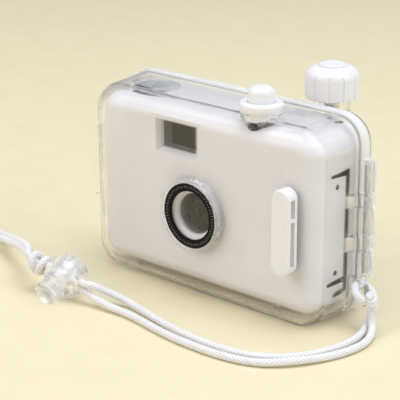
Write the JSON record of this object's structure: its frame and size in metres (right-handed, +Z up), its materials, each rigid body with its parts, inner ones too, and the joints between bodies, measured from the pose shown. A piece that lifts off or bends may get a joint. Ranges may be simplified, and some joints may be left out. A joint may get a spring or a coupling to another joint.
{
  "type": "film camera in a waterproof case",
  "caption": "Small reusable 35 mm film camera inside a clear hinged waterproof case, with plunger, wind knob, finger grip, latch and a corded wrist strap with a cord lock",
  "frame": {"origin": "on the ground plane under the middle of the flange where the two halves of the case meet", "axes": "+Z up, -Y is the way the lens faces, +X to the side with the case hinge and the strap lug"},
  "size_m": [0.2438, 0.103, 0.1003],
  "materials": {
    "clear_plastic": "polished",
    "white_plastic": "smooth",
    "white_matt_plastic": "satin",
    "black_plastic": "satin",
    "steel": "brushed",
    "dark_steel": "blackened",
    "glass": "polished",
    "rubber": "soft",
    "cord": "braided"
  },
  "bodies": {
    "case_front": {"front_shell": "clear_plastic", "lens_port_ring": "black_plastic", "case_seal": "rubber", "finger_grip": "white_plastic", "plunger_collar": "white_plastic", "plunger_seal": "rubber", "plunger_spring": "steel", "hinge_pin": "steel", "camera_front_cover": "white_matt_plastic", "camera_back_frame": "white_matt_plastic", "camera_chassis": "black_plastic", "lens_bezel": "white_matt_plastic", "front_lens": "glass", "lens_barrel": "black_plastic", "aperture_plate": "dark_steel", "rear_lens": "glass", "shutter_housing": "black_plastic", "blade_pin": "steel", "viewfinder_front_lens": "glass", "viewfinder_tube": "black_plastic", "viewfinder_eyepiece": "glass", "winding_cover": "white_matt_plastic", "counter_window": "glass", "side_screws": "dark_steel", "door_hinge_pin": "steel", "strap_hitch": "cord", "strap_cord_a": "cord", "strap_cord_b": "cord", "strap_knot": "cord", "strap_loop": "cord", "toggle_body": "clear_plastic", "toggle_spring": "steel"},
    "case_lid": {"rear_shell": "clear_plastic", "latch_pin": "steel", "knob_seal": "rubber", "knob_bush": "white_plastic"},
    "latch": {"latch_lever": "clear_plastic"},
    "winding_knob": {"wind_knob": "white_plastic", "knob_cap": "white_plastic", "knob_shaft": "steel", "drive_roller": "black_plastic"},
    "film_winder": {"thumbwheel": "black_plastic", "takeup_spool": "black_plastic"},
    "film_sprocket": {"sprocket": "black_plastic"},
    "counter": {"counter_dial": "white_matt_plastic"},
    "plunger": {"plunger_cap": "white_plastic", "plunger_stem": "steel"},
    "camera_button": {"shutter_button": "black_plastic"},
    "blade": {"shutter_blade": "dark_steel"},
    "rewinder": {"rewind_knob": "black_plastic", "rewind_crank": "black_plastic", "rewind_fork": "black_plastic"},
    "rewind_catch": {"rewind_release": "black_plastic"},
    "back_door": {"film_door": "white_matt_plastic", "pressure_plate": "black_plastic", "pressure_spring": "steel"},
    "door_slider": {"door_latch": "white_matt_plastic"},
    "lock_button": {"toggle_button": "clear_plastic"}
  },
  "joints": [
    {"name": "lid_hinge", "type": "hinge", "parent": "case_front", "child": "case_lid", "pos_m": [0.0672, -0.002, 0.04], "axis": [0, 0, -1], "range_deg": [0, 120]},
    {"name": "latch_hinge", "type": "hinge", "parent": "case_lid", "child": "latch", "pos_m": [-0.0664, 0.005, 0.04], "axis": [0, 0, -1], "range_deg": [0, 100]},
    {"name": "knob_turn", "type": "hinge", "parent": "case_lid", "child": "winding_knob", "pos_m": [0.0365, 0.014, 0.07], "axis": [0, 0, 1], "continuous": true},
    {"name": "winder_turn", "type": "hinge", "parent": "case_front", "child": "film_winder", "pos_m": [0.0355, -0.0044, 0.07], "axis": [0, 0, 1], "continuous": true},
    {"name": "sprocket_turn", "type": "hinge", "parent": "case_front", "child": "film_sprocket", "pos_m": [0.0155, -0.0036, 0.07], "axis": [0, 0, 1], "continuous": true},
    {"name": "counter_turn", "type": "hinge", "parent": "case_front", "child": "counter", "pos_m": [0.0435, -0.0025, 0.07], "axis": [0, 0, 1], "continuous": true},
    {"name": "plunger_press", "type": "slide", "parent": "case_front", "child": "plunger", "axis": [0, 0, -1], "range_m": [0, 0.0022], "stiffness_N_per_m": 400, "springref_m": -0.001, "deforming": ["plunger_spring"]},
    {"name": "button_press", "type": "slide", "parent": "case_front", "child": "camera_button", "axis": [0, 0, -1], "range_m": [0, 0.0022]},
    {"name": "blade_swing", "type": "hinge", "parent": "case_front", "child": "blade", "pos_m": [0.0097, -0.01265, 0.0453], "axis": [0, -1, 0], "range_deg": [0, 40]},
    {"name": "rewind_turn", "type": "hinge", "parent": "case_front", "child": "rewinder", "pos_m": [-0.0426, -0.0062, 0.07], "axis": [0, 0, 1], "continuous": true},
    {"name": "release_press", "type": "slide", "parent": "case_front", "child": "rewind_catch", "axis": [0, 0, 1], "range_m": [0, 0.0015], "stiffness_N_per_m": 300},
    {"name": "film_door_hinge", "type": "hinge", "parent": "case_front", "child": "back_door", "pos_m": [0.0564, 0.0054, 0.04], "axis": [0, 0, -1], "range_deg": [0, 96]},
    {"name": "door_latch_slide", "type": "slide", "parent": "case_front", "child": "door_slider", "axis": [0, 0, 1], "range_m": [0, 0.0025]},
    {"name": "toggle_press", "type": "slide", "parent": "case_front", "child": "lock_button", "axis": [-0.03, 0.9502, 0.3101], "range_m": [0, 0.0025], "stiffness_N_per_m": 500, "springref_m": -0.001, "deforming": ["toggle_spring"]}
  ],
  "couplings": [
    {"joint": "winder_turn", "follows": "knob_turn", "ratio": -0.4186},
    {"joint": "counter_turn", "follows": "sprocket_turn", "ratio": -0.025},
    {"joint": "button_press", "follows": "plunger_press", "ratio": 1},
    {"joint": "blade_swing", "follows": "plunger_press", "rad_per_m": 317.3},
    {"joint": "film_door_hinge", "follows": "lid_hinge", "ratio": 0.8}
  ]
}
